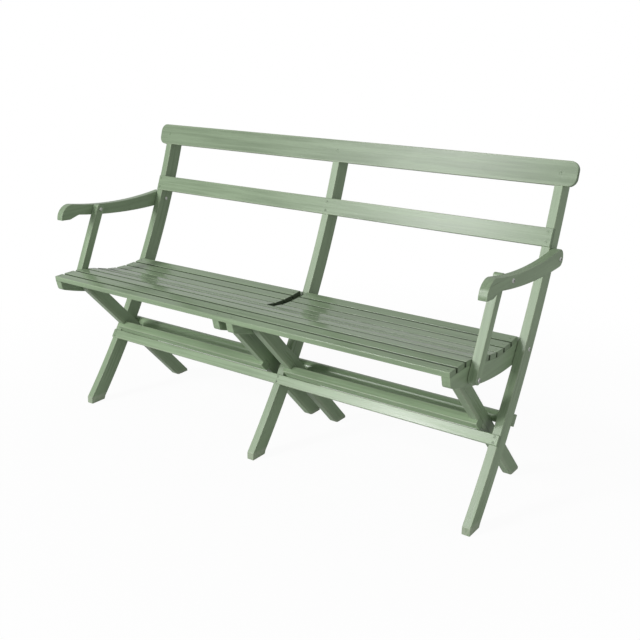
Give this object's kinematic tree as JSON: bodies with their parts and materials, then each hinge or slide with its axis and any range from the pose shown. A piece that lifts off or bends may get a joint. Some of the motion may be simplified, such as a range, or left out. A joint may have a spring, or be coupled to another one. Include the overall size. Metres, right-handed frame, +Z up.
{
  "type": "folding garden bench",
  "caption": "Folding slatted garden bench of painted boards with arms, curved back posts and crossed legs that fold flat with the seat.",
  "frame": {"origin": "on the floor, at mid-length and at the middle of the open bench's depth", "axes": "+X to the right of a viewer facing the bench's front, +Y from the seat's front towards the back, +Z up"},
  "size_m": [1.464, 0.5737, 0.8419],
  "materials": {
    "painted_wood": "worn satin paint",
    "zinc_steel": "dull zinc plate",
    "painted_steel": "painted over with the boards"
  },
  "bodies": {
    "back_frame": {"post_left": "painted_wood", "post_middle": "painted_wood", "post_right": "painted_wood", "top_rail": "painted_wood", "middle_rail": "painted_wood", "front_stretcher": "painted_wood", "rear_stretcher": "painted_wood", "top_rail_screws": "painted_steel", "middle_rail_screws": "painted_steel", "front_stretcher_screws": "painted_steel", "rear_stretcher_screws": "painted_steel", "seat_bolts": "zinc_steel", "seat_nuts": "zinc_steel", "middle_seat_bolt": "zinc_steel", "middle_seat_nut": "zinc_steel", "arm_rear_bolts": "zinc_steel", "arm_rear_nuts": "zinc_steel"},
    "seat": {"seat_rail_outer_left": "painted_wood", "seat_rail_inner_left": "painted_wood", "seat_rail_inner_right": "painted_wood", "seat_rail_outer_right": "painted_wood", "front_slat_a": "painted_wood", "front_slat_b": "painted_wood", "front_slat_c": "painted_wood", "front_slat_d": "painted_wood", "front_slat_e": "painted_wood", "rear_slat_f_left": "painted_wood", "rear_slat_f_right": "painted_wood", "rear_slat_g_left": "painted_wood", "rear_slat_g_right": "painted_wood", "rear_slat_h_left": "painted_wood", "rear_slat_h_right": "painted_wood", "rear_slat_i_left": "painted_wood", "rear_slat_i_right": "painted_wood", "slat_nails": "painted_steel", "outer_leg_bolts": "zinc_steel", "outer_leg_nuts": "zinc_steel", "inner_leg_bolts": "zinc_steel", "inner_leg_nuts": "zinc_steel", "leg_washers": "zinc_steel"},
    "leg_frame_left": {"leg_outer_left": "painted_wood", "leg_inner_left": "painted_wood", "leg_stretcher_left": "painted_wood", "leg_stretcher_left_screws": "painted_steel"},
    "leg_frame_right": {"leg_outer_right": "painted_wood", "leg_inner_right": "painted_wood", "leg_stretcher_right": "painted_wood", "leg_stretcher_right_screws": "painted_steel"},
    "armrest_left": {"armrest_left": "painted_wood", "arm_front_bolt_left": "zinc_steel", "arm_front_nut_left": "zinc_steel"},
    "armrest_right": {"armrest_right": "painted_wood", "arm_front_bolt_right": "zinc_steel", "arm_front_nut_right": "zinc_steel"},
    "arm_strut_left": {"arm_strut_left": "painted_wood"},
    "arm_strut_right": {"arm_strut_right": "painted_wood"}
  },
  "joints": [
    {"name": "seat_fold", "type": "hinge", "parent": "back_frame", "child": "seat", "pos_m": [0, 0.07568, 0.394], "axis": [-1, 0, 0], "range_deg": [0, 94]},
    {"name": "armrest_fold_left", "type": "hinge", "parent": "back_frame", "child": "armrest_left", "pos_m": [-0.7125, 0.17791, 0.6075], "axis": [-1, 0, 0], "range_deg": [0, 94]},
    {"name": "strut_fold_left", "type": "hinge", "parent": "seat", "child": "arm_strut_left", "pos_m": [-0.6885, -0.19562, 0.405], "axis": [1, 0, 0], "range_deg": [0, 94]},
    {"name": "leg_fold_left", "type": "hinge", "parent": "seat", "child": "leg_frame_left", "pos_m": [-0.34425, -0.19562, 0.405], "axis": [1, 0, 0], "range_deg": [0, 36.9]},
    {"name": "armrest_fold_right", "type": "hinge", "parent": "back_frame", "child": "armrest_right", "pos_m": [0.7125, 0.17791, 0.6075], "axis": [-1, 0, 0], "range_deg": [0, 94]},
    {"name": "strut_fold_right", "type": "hinge", "parent": "seat", "child": "arm_strut_right", "pos_m": [0.6885, -0.19562, 0.405], "axis": [1, 0, 0], "range_deg": [0, 94]},
    {"name": "leg_fold_right", "type": "hinge", "parent": "seat", "child": "leg_frame_right", "pos_m": [0.34425, -0.19562, 0.405], "axis": [1, 0, 0], "range_deg": [0, 36.9]}
  ],
  "couplings": [
    {"joint": "armrest_fold_left", "follows": "seat_fold", "ratio": 1},
    {"joint": "strut_fold_left", "follows": "seat_fold", "ratio": 1},
    {"joint": "leg_fold_left", "follows": "seat_fold", "ratio": 0.3925},
    {"joint": "armrest_fold_right", "follows": "seat_fold", "ratio": 1},
    {"joint": "strut_fold_right", "follows": "seat_fold", "ratio": 1},
    {"joint": "leg_fold_right", "follows": "seat_fold", "ratio": 0.3925}
  ]
}
